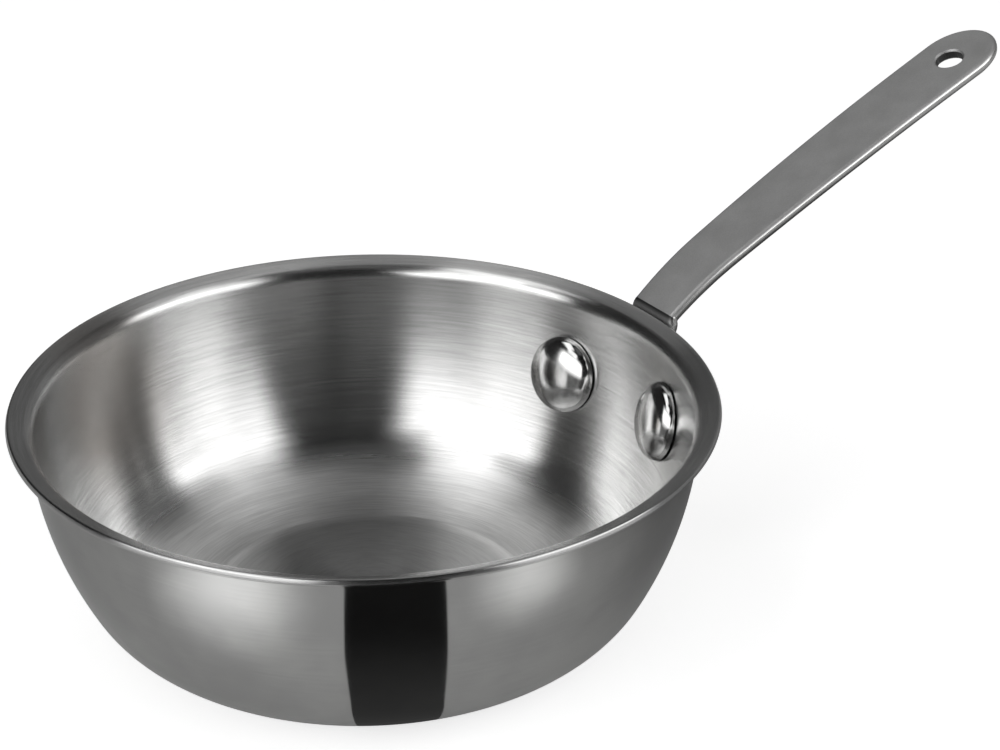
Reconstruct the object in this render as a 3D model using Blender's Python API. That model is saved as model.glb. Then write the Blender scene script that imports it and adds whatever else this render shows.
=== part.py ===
"""Small stainless stir-fry pan: a pressed bowl with a flared lip and a strip handle held by two rivets.

The origin is the centre of the flat base's underside, +Z is up and the handle points along +X.
Sizes are in metres and angles in degrees. Every meridian is drawn in the X-Z plane, as a path of arcs
and straights that keeps the metal's thickness on one side, so a neighbour follows the same path at a gap.
"""

import math

import bmesh
import bpy
from mathutils import Matrix, Vector

# Bowl
RIM_DIAMETER = 0.127
BOWL_HEIGHT = 0.0422
SHEET = 0.0012
HEEL_RADIUS = 0.0185
HEEL_LEAN = 27.5
WALL_LEAN = 2.6
LIP_LENGTH = 0.0033
LIP_SLOPE = 20.0
LIP_BEND = 0.0008
SHEET_EDGE_ROUND = 0.00035

# Handle: the strip
STRIP_THICKNESS = 0.00225
STRIP_EDGE_ROUND = 0.00095
STRIP_LENGTH = 0.0914
ROOT_WIDTH = 0.0117
MIDDLE_WIDTH = 0.0143
END_WIDTH = 0.0153
END_ROUND = 0.0096
END_FLAT = 0.018
CROOK_LENGTH = 0.0165
ROOT_RISE = 0.0013
ROOT_SLOPE = 38.8
CROOK_SLOPE = 26.4
END_SLOPE = 22.5

# Handle: the neck that passes round the lip, with its bends' inner radii
SHOULDER_BEND = 0.00035
NECK_UPPER_BEND = 0.0012
NECK_LOWER_BEND = 0.00055
NECK_WIDTH = 0.0142
NECK_FILLET = 0.0042

# Handle: the flange against the wall
FLANGE_WIDTH = 0.044
FLANGE_HEIGHT = 0.015
FLANGE_CORNER = 0.0067
FLANGE_DROP = 0.0087

# Handle: the hole that it hangs on
HANG_HOLE_DIAMETER = 0.0054
HANG_HOLE_CHAMFER = 0.0004
HANG_HOLE_FROM_END = 0.0106

# Rivets: one in each wing of the flange
RIVET_FROM_WING_END = 0.0064
RIVET_STAGGER = 0.00125
SHANK_DIAMETER = 0.006
HEAD_DIAMETER = 0.015
HEAD_RISE = 0.0033
TAIL_DIAMETER = 0.0108
TAIL_RISE = 0.0019
DOME_SQUARENESS = 2.3

# Clearances between pieces that touch
SEAT_GAP = 0.0003
HEAD_GAP = 0.00045
LIP_GAP = 0.0004

# The most of its wall that a rounding may take, as a share
ROUND_LIMIT = 0.45

# Fineness of the facets
BOWL_STEPS = 72
RIVET_STEPS = 28
HOLE_STEPS = 28
ARC_STEP = 7.5
TIGHT_ARC_STEP = 13.0
TIGHT_RADIUS = 0.004
CORNER_STEPS = 6
END_STEPS = 9
EDGE_STEPS = 3
HEAD_STEPS = 12
TAIL_STEPS = 8
WRAP_STEP = 0.0031
STRIP_STEP = 0.0082
SMOOTH_ANGLE = 35.0

# Tolerances
MERGE = 0.000002
LEVEL = 0.999
SEARCH_STEPS = 60


class Path:
    """A run of arcs and straights in the X-Z plane, followed from a point in a heading."""

    def __init__(self, start, heading):
        """Starts the path. Heading is in degrees, 0 along +X and 90 along +Z."""
        self.points = [Vector(start)]
        self.headings = [heading]
        self.lengths = []
        self.turns = []

    def go(self, length, turn=0.0):
        """Adds a piece of this length that turns left by this many degrees, and returns the path."""
        self.points.append(self._ahead(len(self.lengths), length, length, turn))
        self.headings.append(self.headings[-1] + turn)
        self.lengths.append(length)
        self.turns.append(turn)
        return self

    def bend(self, radius, turn):
        """Adds an arc of this radius that turns left by this many degrees (negative: right)."""
        return self.go(radius * math.radians(abs(turn)), turn)

    def _ahead(self, index, distance, length, turn):
        """Returns the point this far along the piece that starts at points[index]."""
        x, z = self.points[index]
        first = math.radians(self.headings[index])
        if turn == 0.0:
            return Vector((x + distance * math.cos(first), z + distance * math.sin(first)))
        radius = length / math.radians(turn)
        last = first + distance / radius
        return Vector((
            x + radius * (math.sin(last) - math.sin(first)),
            z - radius * (math.cos(last) - math.cos(first)),
        ))

    def length(self):
        """Returns the whole length of the path."""
        return sum(self.lengths)

    def at(self, distance):
        """Returns the point at this distance from the start, and the heading there in degrees."""
        index = 0
        while index < len(self.lengths) - 1 and distance > self.lengths[index]:
            distance -= self.lengths[index]
            index += 1
        length, turn = self.lengths[index], self.turns[index]
        heading = self.headings[index] + turn * distance / length
        return self._ahead(index, distance, length, turn), heading

    def beside(self, distance, offset):
        """Returns the point at this distance, moved to the left of the path by offset."""
        point, heading = self.at(distance)
        angle = math.radians(heading)
        return point + offset * Vector((-math.sin(angle), math.cos(angle)))

    def distance_at_height(self, height):
        """Returns the distance where a rising path reaches this height."""
        low, high = 0.0, self.length()
        for _ in range(SEARCH_STEPS):
            middle = (low + high) / 2
            if self.at(middle)[0].y < height:
                low = middle
            else:
                high = middle
        return (low + high) / 2

    def stations(self):
        """Returns the distances where the path is cut into facets, from start to end."""
        marks = [0.0]
        for length, turn in zip(self.lengths, self.turns):
            tight = length < TIGHT_RADIUS * math.radians(abs(turn))
            count = max(1, math.ceil(abs(turn) / (TIGHT_ARC_STEP if tight else ARC_STEP)))
            start = marks[-1]
            marks += [start + length * index / count for index in range(1, count + 1)]
        return marks


def bowl_meridian():
    """Returns the path of the bowl's outer face, from the middle of the base to the lip's edge.

    The heel, the side and the lip's bend are arcs that meet without a corner. The side's radius and the
    base's width are what the rim, the height and the slopes leave for them.
    """
    lip, side, heel = (math.radians(90 - lean) for lean in (90 - LIP_SLOPE, WALL_LEAN, HEEL_LEAN))
    corner = sheet_edge_round() * (math.cos(lip) + math.sin(lip) - 1)
    edge_x = RIM_DIAMETER / 2 + corner
    edge_z = BOWL_HEIGHT + corner - SHEET * math.cos(lip)
    top_x = edge_x - LIP_LENGTH * math.cos(lip) - LIP_BEND * (math.sin(side) - math.sin(lip))
    top_z = edge_z - LIP_LENGTH * math.sin(lip) - LIP_BEND * (math.cos(lip) - math.cos(side))
    side_radius = (top_z - HEEL_RADIUS * (1 - math.cos(heel))) / (math.cos(heel) - math.cos(side))
    side_width = side_radius * (math.sin(side) - math.sin(heel))
    path = Path((0, 0), 0).go(top_x - side_width - HEEL_RADIUS * math.sin(heel))
    path.bend(HEEL_RADIUS, 90 - HEEL_LEAN)
    path.bend(side_radius, HEEL_LEAN - WALL_LEAN)
    path.bend(LIP_BEND, WALL_LEAN - 90 + LIP_SLOPE)
    return path.go(LIP_LENGTH)


def flange_marks(bowl):
    """Returns the distances along the bowl's path where the flange starts, is halfway and ends."""
    top = bowl.distance_at_height(BOWL_HEIGHT - FLANGE_DROP)
    return top - FLANGE_HEIGHT, top - FLANGE_HEIGHT / 2, top


def handle_path(bowl):
    """Returns the path of the handle's inner face: up the wall, round the lip and out along the strip.

    The metal lies to the right of this path. The neck's straight run is the common tangent of the two
    bends at its ends, so it follows the lip when the rim or the flange moves.
    """
    bottom, _, top = flange_marks(bowl)
    lower, upper = bowl.at(bottom)[1], bowl.at(top)[1]
    wall_radius = FLANGE_HEIGHT / math.radians(upper - lower) + SEAT_GAP
    path = Path(bowl.beside(bottom, -SEAT_GAP), lower).bend(wall_radius, upper - lower)

    shoulder_bend = STRIP_THICKNESS + SHOULDER_BEND
    lower_bend = STRIP_THICKNESS + NECK_LOWER_BEND
    neck_x = RIM_DIAMETER / 2 + LIP_GAP
    neck_z = BOWL_HEIGHT + ROOT_RISE - shoulder_bend * math.cos(math.radians(ROOT_SLOPE))
    first_centre = path.beside(path.length(), -lower_bend)
    last_centre = Vector((neck_x - NECK_UPPER_BEND, neck_z))
    between = last_centre - first_centre
    both = lower_bend + NECK_UPPER_BEND
    heading = math.degrees(math.atan2(between.y, between.x) - math.asin(both / between.length))
    path.bend(lower_bend, heading - upper)
    path.go(math.sqrt(between.length_squared - both * both))
    path.bend(NECK_UPPER_BEND, 90 - heading)

    path.bend(shoulder_bend, ROOT_SLOPE - 90)
    path.go(CROOK_LENGTH, CROOK_SLOPE - ROOT_SLOPE)
    path.go(STRIP_LENGTH - CROOK_LENGTH - END_FLAT, END_SLOPE - CROOK_SLOPE)
    return path.go(END_FLAT)


def sheet_edge_round():
    """Returns the rounding of the lip's edge, which the sheet limits."""
    return min(SHEET_EDGE_ROUND, ROUND_LIMIT * SHEET)


def strip_edge_round():
    """Returns the rounding of the strip's edges, which its thickness limits."""
    return min(STRIP_EDGE_ROUND, ROUND_LIMIT * STRIP_THICKNESS)


def quarter_turn(count):
    """Returns the angles of a quarter turn in this many steps, from 0 to 90 degrees, in radians."""
    return [math.tau / 4 * index / count for index in range(count + 1)]


def spaced(first, last, step):
    """Returns evenly spaced values from first up to but not at last, about this step apart."""
    count = round((last - first) / step)
    return [first + (last - first) * index / count for index in range(count)]


def strip_half_width(along):
    """Returns half the strip's width at this share of its length, without the round end."""
    root, middle, end = ROOT_WIDTH / 2, MIDDLE_WIDTH / 2, END_WIDTH / 2
    return (
        root * (1 - along) * (1 - 2 * along)
        + middle * 4 * along * (1 - along)
        + end * along * (2 * along - 1)
    )


def wing_outline():
    """Returns one wing of the flange and the fillet above it, as points (distance, half width)."""
    corner = min(FLANGE_CORNER, ROUND_LIMIT * FLANGE_HEIGHT)
    wing = FLANGE_WIDTH / 2 - corner
    neck = NECK_WIDTH / 2
    fillet = min(NECK_FILLET, wing - neck - MERGE)
    turns = quarter_turn(CORNER_STEPS)
    lower = [(corner * (1 - math.cos(turn)), wing + corner * math.sin(turn)) for turn in turns]
    upper = [(FLANGE_HEIGHT - x, y) for x, y in reversed(lower)]
    hollow = [
        (FLANGE_HEIGHT + fillet * (1 - math.cos(turn)), neck + fillet * (1 - math.sin(turn)))
        for turn in turns
    ]
    return lower + upper + hollow


def half_outline(path):
    """Returns one side of the flat blank, from the flange's lower edge to the strip's tip."""
    wing = wing_outline()
    start, neck = wing[-1]
    root = path.length() - STRIP_LENGTH
    sides = []
    for mark in path.stations():
        if start + MERGE < mark < root - MERGE:
            share = (mark - start) / (root - start)
            sides.append((mark, neck + (ROOT_WIDTH / 2 - neck) * share))

    round_start = STRIP_LENGTH - END_ROUND
    marks = spaced(0.0, CROOK_LENGTH, STRIP_STEP) + spaced(CROOK_LENGTH, round_start, STRIP_STEP)
    strip = [(root + mark, strip_half_width(mark / STRIP_LENGTH)) for mark in marks]
    widest = strip_half_width(round_start / STRIP_LENGTH)
    end = [
        (root + round_start + END_ROUND * math.sin(turn), widest * math.cos(turn))
        for turn in quarter_turn(END_STEPS)
    ]
    return wing + sides + strip + end


def formed(path, flat):
    """Bends a point of the flat blank to its place on the finished handle.

    The blank's X is the distance along the path, Y its width and Z the depth into the metal. Across its
    width the blank wraps round the bowl at the flange, and is flat from the shoulder on.
    """
    point, heading = path.at(flat.x)
    angle = math.radians(heading)
    x = point.x + flat.z * math.sin(angle)
    z = point.y - flat.z * math.cos(angle)
    root = path.length() - STRIP_LENGTH
    share = min(max((root - flat.x) / (root - FLANGE_HEIGHT), 0.0), 1.0)
    if share == 0.0:
        return Vector((x, flat.y, z))
    radius = x / (share * share * (3 - 2 * share))
    turn = flat.y / radius
    return Vector((x - radius * (1 - math.cos(turn)), radius * math.sin(turn), z))


def add_object(name, mesh, material=None):
    """Links a new object with this mesh to the scene, and returns it."""
    obj = bpy.data.objects.new(name, mesh)
    bpy.context.scene.collection.objects.link(obj)
    if material:
        mesh.materials.append(material)
    return obj


def mesh_from(name, shape):
    """Turns a bmesh into a mesh with smooth round faces and crisp edges."""
    bmesh.ops.recalc_face_normals(shape, faces=shape.faces)
    mesh = bpy.data.meshes.new(name)
    shape.to_mesh(mesh)
    shape.free()
    mesh.shade_smooth()
    mesh.set_sharp_from_angle(angle=math.radians(SMOOTH_ANGLE))
    return mesh


def metal(name, colour, roughness):
    """Returns a bare metal finish."""
    material = bpy.data.materials.new(name)
    material.use_nodes = True
    shader = material.node_tree.nodes["Principled BSDF"]
    shader.inputs["Base Color"].default_value = (*colour, 1.0)
    shader.inputs["Metallic"].default_value = 1.0
    shader.inputs["Roughness"].default_value = roughness
    return material


def turned(name, profile, steps):
    """Spins a profile of (radius, height) points round Z into a closed mesh."""
    shape = bmesh.new()
    verts = [shape.verts.new((radius, 0, height)) for radius, height in profile]
    edges = [shape.edges.new(pair) for pair in zip(verts, verts[1:])]
    bmesh.ops.spin(
        shape, geom=verts + edges, axis=(0, 0, 1), cent=(0, 0, 0),
        angle=math.tau, steps=steps, use_merge=True,
    )
    bmesh.ops.remove_doubles(shape, verts=shape.verts, dist=MERGE)
    return mesh_from(name, shape)


def bowl_profile(path):
    """Returns the half section of the bowl: outer face, rounded lip edge and inner face."""
    marks = path.stations()
    outer = [path.at(mark)[0] for mark in marks]
    inner = [path.beside(mark, SHEET) for mark in marks]
    along = (outer[-1] - outer[-2]).normalized()
    across = (inner[-1] - outer[-1]).normalized()
    radius = sheet_edge_round()
    turns = quarter_turn(EDGE_STEPS)
    under = outer[-1] + radius * (across - along)
    over = inner[-1] - radius * (across + along)
    under_edge = [under + radius * (math.sin(turn) * along - math.cos(turn) * across) for turn in turns]
    over_edge = [over + radius * (math.cos(turn) * along + math.sin(turn) * across) for turn in turns]
    points = outer[:-1] + under_edge + over_edge + inner[-2::-1]
    return [(max(point.x, 0.0), point.y) for point in points]


def flat_blank(path):
    """Makes the handle's flat blank, with its edges rounded, lying on the X-Y plane."""
    side = half_outline(path)
    outline = side + [(x, -y) for x, y in side[-2::-1]]
    shape = bmesh.new()
    blank = shape.faces.new([shape.verts.new((x, y, 0)) for x, y in outline])
    grown = bmesh.ops.extrude_face_region(shape, geom=[blank])
    raised = [item for item in grown["geom"] if isinstance(item, bmesh.types.BMVert)]
    bmesh.ops.translate(shape, verts=raised, vec=(0, 0, STRIP_THICKNESS))
    bmesh.ops.recalc_face_normals(shape, faces=shape.faces)
    level = [edge for edge in shape.edges if abs(edge.verts[0].co.z - edge.verts[1].co.z) < MERGE]
    bmesh.ops.bevel(
        shape, geom=level, offset=strip_edge_round(), offset_type="OFFSET",
        segments=EDGE_STEPS, profile=0.5, affect="EDGES", material=-1,
    )
    return shape


def blank_cuts(shape, end):
    """Returns the distances of the cuts across the blank and the widths of the cuts along it.

    Each corner of the blank's flat face, up to this end, gets the cut that meets the outline there at
    the steeper angle.
    """
    face = max(shape.faces, key=lambda item: item.calc_area())
    across, along = set(), {0.0, WRAP_STEP, -WRAP_STEP}
    for loop in face.loops:
        here = loop.vert.co
        if here.x > end:
            continue
        run = loop.link_loop_next.vert.co - loop.link_loop_prev.vert.co
        if abs(run.x) < abs(run.y):
            along.add(here.y)
        elif here.y > 0:
            across.add(here.x)
    return sorted(across), sorted(along)


def cut(shape, faces, point, normal):
    """Cuts these faces of a shape along a plane, and keeps both sides."""
    edges = {edge for face in faces for edge in face.edges}
    verts = {vert for face in faces for vert in face.verts}
    geom = [*verts, *edges, *faces]
    bmesh.ops.bisect_plane(shape, geom=geom, dist=MERGE, plane_co=point, plane_no=normal)


def formed_strip(path):
    """Makes the handle's mesh: the flat blank, cut into facets and formed along its path.

    The cuts across the blank stop at its flat end. The cuts along it serve the wrapped part, from the
    flange's lower edge to the root.
    """
    shape = flat_blank(path)
    root = path.length() - STRIP_LENGTH
    across, along = blank_cuts(shape, path.length() - END_FLAT)
    for mark in across:
        level = [face for face in shape.faces if abs(face.normal.z) > LEVEL]
        cut(shape, level, (mark, 0, 0), (1, 0, 0))
    for width in along:
        wrapped = []
        for face in shape.faces:
            end = root if abs(face.normal.z) > LEVEL else strip_edge_round()
            if face.calc_center_median().x < end:
                wrapped.append(face)
        cut(shape, wrapped, (0, width, 0), (0, 1, 0))
    for vert in shape.verts:
        vert.co = formed(path, vert.co)
    return mesh_from("handle", shape)


def rivet_place(bowl, side):
    """Returns the matrix that puts a rivet's origin on the wall's outer face, with +Z pointing out."""
    mark = flange_marks(bowl)[1] - side * RIVET_STAGGER
    point, heading = bowl.at(mark)
    azimuth = side * (FLANGE_WIDTH / 2 - RIVET_FROM_WING_END) / point.x
    return (
        Matrix.Rotation(azimuth, 4, "Z")
        @ Matrix.Translation((point.x, 0, point.y))
        @ Matrix.Rotation(math.radians(180 - heading), 4, "Y")
    )


def dome(diameter, seat, rise, count):
    """Returns a dome's half section from its edge to its top, rising from its seat's height."""
    power = 2 / DOME_SQUARENESS
    points = [
        (diameter / 2 * math.cos(turn) ** power, seat + rise * math.sin(turn) ** power)
        for turn in quarter_turn(count)[:-1]
    ]
    return points + [(0.0, seat + rise)]


def rivet_profile():
    """Returns a rivet's half section: domed head inside the bowl, shank, and low tail outside."""
    under_head = -(SHEET + HEAD_GAP)
    under_tail = SEAT_GAP + STRIP_THICKNESS + SEAT_GAP
    head = dome(HEAD_DIAMETER, under_head, -HEAD_RISE, HEAD_STEPS)
    shank = [(SHANK_DIAMETER / 2, under_head), (SHANK_DIAMETER / 2, under_tail)]
    tail = dome(TAIL_DIAMETER, under_tail, TAIL_RISE, TAIL_STEPS)
    return [*reversed(head), *shank, *tail]


def rivet_hole_profile():
    """Returns the half section of the cutter for a rivet hole through wall and flange."""
    radius = SHANK_DIAMETER / 2 + SEAT_GAP
    inside = -(SHEET + HEAD_GAP + SEAT_GAP)
    outside = SEAT_GAP + STRIP_THICKNESS + SEAT_GAP
    return [(0, inside), (radius, inside), (radius, outside), (0, outside)]


def head_seat_profile(bowl):
    """Returns the closed half section of the wall and the gap that a rivet's head keeps to it."""
    middle = flange_marks(bowl)[1]
    reach = HEAD_DIAMETER / 2 + RIVET_STAGGER + SHEET
    low, high = middle - reach, middle + reach
    marks = [low] + [mark for mark in bowl.stations() if low < mark < high] + [high]
    face = [bowl.beside(mark, SHEET + SEAT_GAP) for mark in marks]
    back = [bowl.at(mark)[0] for mark in marks]
    return [(point.x, point.y) for point in [*face, *reversed(back), face[0]]]


def hang_hole_profile():
    """Returns the half section of the hang hole's cutter, which widens past both faces."""
    radius = HANG_HOLE_DIAMETER / 2
    chamfer = HANG_HOLE_CHAMFER
    half = STRIP_THICKNESS / 2
    return [
        (0, -half - chamfer),
        (radius + 2 * chamfer, -half - chamfer),
        (radius, -half + chamfer),
        (radius, half - chamfer),
        (radius + 2 * chamfer, half + chamfer),
        (0, half + chamfer),
    ]


def hang_hole_place(path):
    """Returns the matrix that puts the hang hole's cutter in the middle of the strip's thickness."""
    mark = path.length() - HANG_HOLE_FROM_END
    heading = path.at(mark)[1]
    middle = path.beside(mark, -STRIP_THICKNESS / 2)
    return Matrix.Translation((middle.x, 0, middle.y)) @ Matrix.Rotation(math.radians(-heading), 4, "Y")


def add_cutter(name, profile, place, steps):
    """Adds a hidden turned cutter at this place."""
    cutter = add_object(name, turned(name, profile, steps))
    cutter.matrix_world = place
    cutter.hide_render = True
    cutter.display_type = "WIRE"
    return cutter


def take_out(cutter, *pieces):
    """Takes a cutter's shape out of each of these pieces."""
    for piece in pieces:
        modifier = piece.modifiers.new(cutter.name, "BOOLEAN")
        modifier.operation = "DIFFERENCE"
        modifier.solver = "EXACT"
        modifier.object = cutter


def main():
    """Builds the pan."""
    for obj in list(bpy.data.objects):
        bpy.data.objects.remove(obj, do_unlink=True)

    brushed = metal("brushed_steel", (0.56, 0.56, 0.55), 0.30)
    satin = metal("satin_steel", (0.44, 0.44, 0.44), 0.38)
    polished = metal("polished_steel", (0.66, 0.66, 0.66), 0.12)

    bowl_path = bowl_meridian()
    bowl = add_object("bowl", turned("bowl", bowl_profile(bowl_path), BOWL_STEPS), brushed)

    strip_path = handle_path(bowl_path)
    handle = add_object("handle", formed_strip(strip_path), satin)
    hang_hole = add_cutter("hang_hole", hang_hole_profile(), hang_hole_place(strip_path), HOLE_STEPS)
    take_out(hang_hole, handle)

    head_seat = add_cutter("head_seat", head_seat_profile(bowl_path), Matrix(), BOWL_STEPS)
    for side_name, side in (("left", 1), ("right", -1)):
        place = rivet_place(bowl_path, side)
        hole = add_cutter(f"rivet_hole_{side_name}", rivet_hole_profile(), place, HOLE_STEPS)
        take_out(hole, bowl, handle, head_seat)
        name = f"rivet_{side_name}"
        rivet = add_object(name, turned(name, rivet_profile(), RIVET_STEPS), polished)
        rivet.matrix_world = place
        take_out(head_seat, rivet)


main()
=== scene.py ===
"""The looks of a small stainless stir-fry pan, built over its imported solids.

Every piece is drawn the way its solid is: paths of arcs and straights in the X-Z plane, spun or formed,
with facets fine enough for the reflections of polished metal. Lengths are in metres and angles in
degrees. The origin is the middle of the base's underside, and the handle points along +X.
"""

import logging
import math
from collections.abc import Iterable, Sequence
from dataclasses import dataclass
from enum import Enum

import bmesh
import bpy
from mathutils import Matrix, Vector


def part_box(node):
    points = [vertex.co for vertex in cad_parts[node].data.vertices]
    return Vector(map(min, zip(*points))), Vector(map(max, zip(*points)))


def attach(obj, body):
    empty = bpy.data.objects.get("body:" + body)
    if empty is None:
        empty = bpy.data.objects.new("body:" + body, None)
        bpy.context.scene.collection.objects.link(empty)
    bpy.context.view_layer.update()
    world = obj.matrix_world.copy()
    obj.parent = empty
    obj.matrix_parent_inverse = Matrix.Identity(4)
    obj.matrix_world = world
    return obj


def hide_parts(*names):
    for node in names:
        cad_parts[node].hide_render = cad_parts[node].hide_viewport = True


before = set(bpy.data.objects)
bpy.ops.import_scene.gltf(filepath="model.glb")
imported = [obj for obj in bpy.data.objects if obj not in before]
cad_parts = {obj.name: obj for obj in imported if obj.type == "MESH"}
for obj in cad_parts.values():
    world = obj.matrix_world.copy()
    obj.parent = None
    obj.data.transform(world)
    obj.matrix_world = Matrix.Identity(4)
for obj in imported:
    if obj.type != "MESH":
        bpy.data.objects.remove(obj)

LOG = logging.getLogger("pan")
MERGE = 0.000002  # Points nearer to each other than this are one point.
LEVEL = 0.999  # A face is level where its normal's Z passes this.
ROUND_LIMIT = 0.45  # The largest share of a side that a round corner takes.
SMOOTH_ANGLE = 32.0
SEARCH_STEPS = 60
UV_SCALE = 10.0
BLACK = (0.0, 0.0, 0.0)
MEASURES = ("DISTANCE", "DOT_PRODUCT", "LENGTH")  # Vector maths that gives a number.

Colour = tuple[float, float, float]
Number = float | int


class Slot(Enum):
    """The record's material slots."""

    BRUSHED = "brushed_steel"
    SATIN = "satin_steel"
    POLISHED = "polished_steel"


class Side(Enum):
    """The two wings of the handle's flange, by the sign of their Y."""

    LEFT = 1
    RIGHT = -1


# Shader graphs


class Sock:
    """A shader output that takes part in sums, so that node maths reads like plain maths."""

    def __init__(self, graph: "Graph", output: bpy.types.NodeSocket) -> None:
        """Wraps an output socket of a graph."""
        self.graph = graph
        self.output = output

    def _number(self, operation: str, *values: "Sock | Number", clamp: bool = False) -> "Sock":
        """Returns a Math node's result for these values."""
        settings = {"operation": operation, "use_clamp": clamp}
        return self.graph.node("ShaderNodeMath", settings, dict(enumerate(values)))

    def __add__(self, other: "Sock | Number") -> "Sock":
        """Returns self + other."""
        return self._number("ADD", self, other)

    def __radd__(self, other: Number) -> "Sock":
        """Returns other + self."""
        return self._number("ADD", other, self)

    def __sub__(self, other: "Sock | Number") -> "Sock":
        """Returns self - other."""
        return self._number("SUBTRACT", self, other)

    def __rsub__(self, other: Number) -> "Sock":
        """Returns other - self."""
        return self._number("SUBTRACT", other, self)

    def __mul__(self, other: "Sock | Number") -> "Sock":
        """Returns self times other."""
        return self._number("MULTIPLY", self, other)

    def __rmul__(self, other: Number) -> "Sock":
        """Returns other times self."""
        return self._number("MULTIPLY", other, self)

    def __truediv__(self, other: "Sock | Number") -> "Sock":
        """Returns self over other."""
        return self._number("DIVIDE", self, other)

    def __rtruediv__(self, other: Number) -> "Sock":
        """Returns other over self."""
        return self._number("DIVIDE", other, self)

    def __pow__(self, other: "Sock | Number") -> "Sock":
        """Returns self to the power of other."""
        return self._number("POWER", self, other)

    def __abs__(self) -> "Sock":
        """Returns self without its sign."""
        return self._number("ABSOLUTE", self)

    def held(self) -> "Sock":
        """Returns self, held between 0 and 1."""
        return self._number("ADD", self, 0.0, clamp=True)

    def larger(self, other: "Sock | Number") -> "Sock":
        """Returns the larger of the two values."""
        return self._number("MAXIMUM", self, other)

    def step(self, low: float, high: float, first: float = 0.0, last: float = 1.0) -> "Sock":
        """Returns a smooth step.

        Args:
            low: The value of self where the step starts.
            high: The value of self where it ends.
            first: The result before the step.
            last: The result after it.

        Returns:
            The stepped value.
        """
        settings = {"interpolation_type": "SMOOTHSTEP", "clamp": True}
        inputs = {"Value": self, "From Min": low, "From Max": high, "To Min": first, "To Max": last}
        return self.graph.node("ShaderNodeMapRange", settings, inputs)


class Graph:
    """A node tree that is written as sums of sockets."""

    def __init__(self, tree: bpy.types.NodeTree) -> None:
        """Wraps a node tree."""
        self.tree = tree

    def node(
        self,
        kind: str,
        settings: dict[str, object] | None = None,
        inputs: dict[str | int, "Sock | Number | Sequence[float]"] | None = None,
        output: str | int = 0,
    ) -> Sock:
        """Adds a node.

        Args:
            kind: The node's type name.
            settings: Its properties.
            inputs: Its inputs by name or place, as sockets or plain values.
            output: The output to return, by name or place.

        Returns:
            The chosen output.
        """
        made = self.tree.nodes.new(kind)
        for name, value in (settings or {}).items():
            setattr(made, name, value)
        for name, value in (inputs or {}).items():
            self.feed(made.inputs[name], value)
        return Sock(self, made.outputs[output])

    def feed(self, socket: bpy.types.NodeSocket, value: "Sock | Number | Sequence[float]") -> None:
        """Gives an input its value, or a link to a socket.

        Args:
            socket: The input.
            value: The value, or the socket that it is linked to.
        """
        if isinstance(value, Sock):
            self.tree.links.new(value.output, socket)
        else:
            socket.default_value = value

    def attribute(self, name: str) -> Sock:
        """Returns a number that the mesh carries under this name."""
        return self.node("ShaderNodeAttribute", {"attribute_name": name}, output="Fac")

    def place(self) -> Sock:
        """Returns the point in the object's own coordinates, in metres."""
        return self.node("ShaderNodeTexCoord", output="Object")

    def vector(self, x: "Sock | Number", y: "Sock | Number", z: "Sock | Number") -> Sock:
        """Returns a vector of three numbers."""
        return self.node("ShaderNodeCombineXYZ", inputs={"X": x, "Y": y, "Z": z})

    def grey(self, value: "Sock | Number") -> Sock:
        """Returns a number as a grey colour."""
        return self.vector(value, value, value)

    def axes(self, vector: Sock) -> list[Sock]:
        """Returns a vector's three numbers."""
        first = self.node("ShaderNodeSeparateXYZ", inputs={0: vector})
        return [Sock(self, output) for output in first.output.node.outputs]

    def points(self, operation: str, *places: "Sock | Sequence[float]") -> Sock:
        """Returns a Vector Math node's result: a number where it measures, and otherwise a vector."""
        output = "Value" if operation in MEASURES else "Vector"
        return self.node("ShaderNodeVectorMath", {"operation": operation}, dict(enumerate(places)), output)

    def noise(self, vector: Sock, noise: "Noise") -> Sock:
        """Returns smooth noise from 0 to 1, read at this point."""
        inputs = {"Vector": vector, "Scale": noise.scale, "Detail": noise.detail, "Roughness": noise.roughness}
        return self.node("ShaderNodeTexNoise", {}, inputs)

    def blend(self, share: "Sock | Number", first: "Sock | Colour", last: "Sock | Colour") -> Sock:
        """Returns a colour this share of the way from one colour to another."""
        first, last = (end if isinstance(end, Sock) else (*end, 1.0) for end in (first, last))
        return self.node("ShaderNodeMix", {"data_type": "RGBA"}, {"Factor": share, 6: first, 7: last}, 2)

    def bump(self, height: Sock, depth: float, under: Sock | None = None) -> Sock:
        """Adds a relief to a surface.

        Args:
            height: The relief's height from 0 to 1.
            depth: Its full height in metres.
            under: The normal of another relief that it is laid over.

        Returns:
            The surface's normal.
        """
        inputs = {"Height": height, "Distance": depth, "Strength": 1.0}
        if under is not None:
            inputs["Normal"] = under
        return self.node("ShaderNodeBump", {}, inputs)


class MaterialGraph(Graph):
    """The graph of a new material."""

    def __init__(self, name: str, values: dict[str, "Number | Sequence[float]"]) -> None:
        """Makes the material, and sets its shader's constants on the shader's own sockets.

        Args:
            name: The material's name.
            values: The constants by input name.
        """
        self.material = bpy.data.materials.new(name)
        self.material.use_nodes = True
        super().__init__(self.material.node_tree)
        self.shader = self.tree.nodes["Principled BSDF"]
        self.set(values)

    def set(self, values: dict[str, "Sock | Number | Sequence[float]"]) -> None:
        """Gives the shader's inputs their values or links."""
        for name, value in values.items():
            self.feed(self.shader.inputs[name], value)

    def surface(self, shader: Sock) -> bpy.types.Material:
        """Makes this shader the material's surface, and returns the material."""
        self.feed(self.tree.nodes["Material Output"].inputs["Surface"], shader)
        return self.material


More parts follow.
